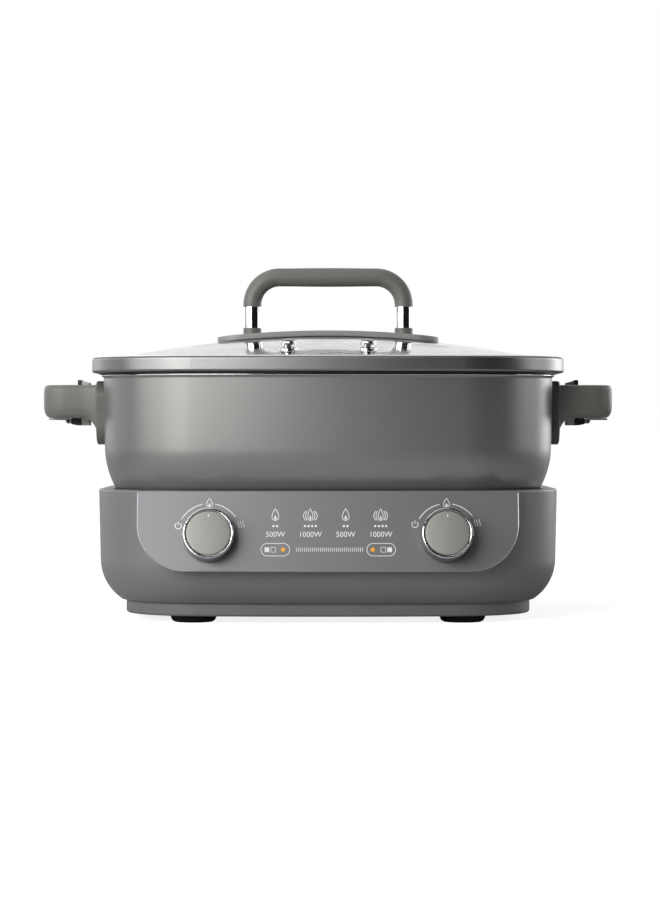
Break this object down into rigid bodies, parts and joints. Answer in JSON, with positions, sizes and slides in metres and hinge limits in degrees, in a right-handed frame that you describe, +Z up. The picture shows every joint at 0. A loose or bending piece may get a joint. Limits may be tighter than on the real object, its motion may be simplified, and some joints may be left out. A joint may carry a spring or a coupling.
{
  "type": "electric hot pot",
  "caption": "Countertop electric hot pot: knob-controlled heated base, divided lift-off pot with side handles, domed glass lid with arched grip and steam vents.",
  "frame": {"origin": "under the middle of the whole part's box, on the plane of the feet", "axes": "+Z up, +Y to the back, the knobs face -Y, the side handles lie along X"},
  "size_m": [0.431, 0.3055, 0.2655],
  "materials": {
    "pot_coat": "satin fluoropolymer coat on cast aluminium",
    "base_plastic": "fine matt moulded polypropylene",
    "cover_plastic": "fine matt moulded polypropylene",
    "rubber": "soft black rubber",
    "screw_steel": "zinc-plated steel",
    "black_plastic": "black moulded plastic",
    "contact_brass": "plated brass",
    "board": "glass-epoxy board",
    "amber_lens": "clear amber light pipe",
    "pan_steel": "pressed aluminised steel",
    "cast_plate": "cast and faced aluminium",
    "bright_chrome": "polished chrome",
    "shaft_steel": "drawn steel",
    "knob_grey": "dark grey moulded plastic",
    "knob_satin": "satin grey-green lacquer",
    "handle_grey": "matt grey heat-proof phenolic",
    "rim_grey": "satin grey rolled band",
    "seal": "translucent silicone",
    "glass": "clear tempered glass"
  },
  "bodies": {
    "base": {"base_housing": "base_plastic", "base_bottom_cover": "cover_plastic", "control_panel": "base_plastic", "rubber_feet": "rubber", "cover_screws": "screw_steel", "power_inlet": "black_plastic", "inlet_pins": "contact_brass", "terminal_block": "black_plastic", "control_board": "board", "thermal_fuses": "black_plastic", "switch_nuts": "screw_steel", "heat_pan_left": "pan_steel", "heat_pan_right": "pan_steel", "heating_plate_left": "cast_plate", "heating_plate_right": "cast_plate", "heating_element_left": "pan_steel", "heating_element_right": "pan_steel", "rotary_switch_left": "black_plastic", "rotary_switch_right": "black_plastic", "indicator_left": "amber_lens", "indicator_right": "amber_lens"},
    "sensor_left": {"temperature_sensor_left": "bright_chrome"},
    "sensor_right": {"temperature_sensor_right": "bright_chrome"},
    "knob_left": {"knob_body_left": "knob_grey", "knob_ring_left": "bright_chrome", "knob_cap_left": "knob_satin", "knob_shaft_left": "shaft_steel"},
    "knob_right": {"knob_body_right": "knob_grey", "knob_ring_right": "bright_chrome", "knob_cap_right": "knob_satin", "knob_shaft_right": "shaft_steel"},
    "pot": {"pot_vessel": "pot_coat", "handle_rivets": "bright_chrome", "handle_plate_left": "handle_grey", "handle_plate_right": "handle_grey", "side_handle_left": "handle_grey", "side_handle_right": "handle_grey", "hinge_strip_left": "bright_chrome", "hinge_strip_right": "bright_chrome", "lever_pin_left": "bright_chrome", "lever_pin_right": "bright_chrome"},
    "lever_left": {"release_lever_left": "black_plastic", "lever_clip_left": "bright_chrome"},
    "lever_right": {"release_lever_right": "black_plastic", "lever_clip_right": "bright_chrome"},
    "lid": {"lid_glass": "glass", "lid_rim": "rim_grey", "lid_gasket": "seal", "lid_bridge": "handle_grey", "lid_grip": "handle_grey", "lid_studs": "bright_chrome", "glass_washers": "seal", "steam_vent_left": "bright_chrome", "steam_vent_right": "bright_chrome", "grip_collar_left": "handle_grey", "grip_collar_right": "handle_grey", "grip_post_left": "bright_chrome", "grip_post_right": "bright_chrome"}
  },
  "joints": [
    {"name": "pot_lift", "type": "slide", "parent": "base", "child": "pot", "axis": [0, 0, 1], "range_m": [0, 0.12]},
    {"name": "lid_lift", "type": "slide", "parent": "pot", "child": "lid", "axis": [0, 0, 1], "range_m": [0, 0.15]},
    {"name": "knob_left_turn", "type": "hinge", "parent": "base", "child": "knob_left", "pos_m": [-0.0855, -0.13321, 0.0645], "axis": [0, -0.9799, 0.1994], "range_deg": [-78, 78]},
    {"name": "knob_right_turn", "type": "hinge", "parent": "base", "child": "knob_right", "pos_m": [0.0855, -0.13321, 0.0645], "axis": [0, -0.9799, 0.1994], "range_deg": [-78, 78]},
    {"name": "lever_left_squeeze", "type": "hinge", "parent": "pot", "child": "lever_left", "pos_m": [-0.199, 0.00917, 0.1478], "axis": [0, -1, 0], "range_deg": [0, 10], "stiffness_Nm_per_rad": 0.15, "springref_deg": -8.59},
    {"name": "lever_right_squeeze", "type": "hinge", "parent": "pot", "child": "lever_right", "pos_m": [0.199, 0.00917, 0.1478], "axis": [0, 1, 0], "range_deg": [0, 10], "stiffness_Nm_per_rad": 0.15, "springref_deg": -8.59},
    {"name": "sensor_left_press", "type": "slide", "parent": "base", "child": "sensor_left", "axis": [0, 0, 1], "range_m": [-0.002, 0], "stiffness_N_per_m": 300, "springref_m": 0.002},
    {"name": "sensor_right_press", "type": "slide", "parent": "base", "child": "sensor_right", "axis": [0, 0, 1], "range_m": [-0.002, 0], "stiffness_N_per_m": 300, "springref_m": 0.002}
  ]
}
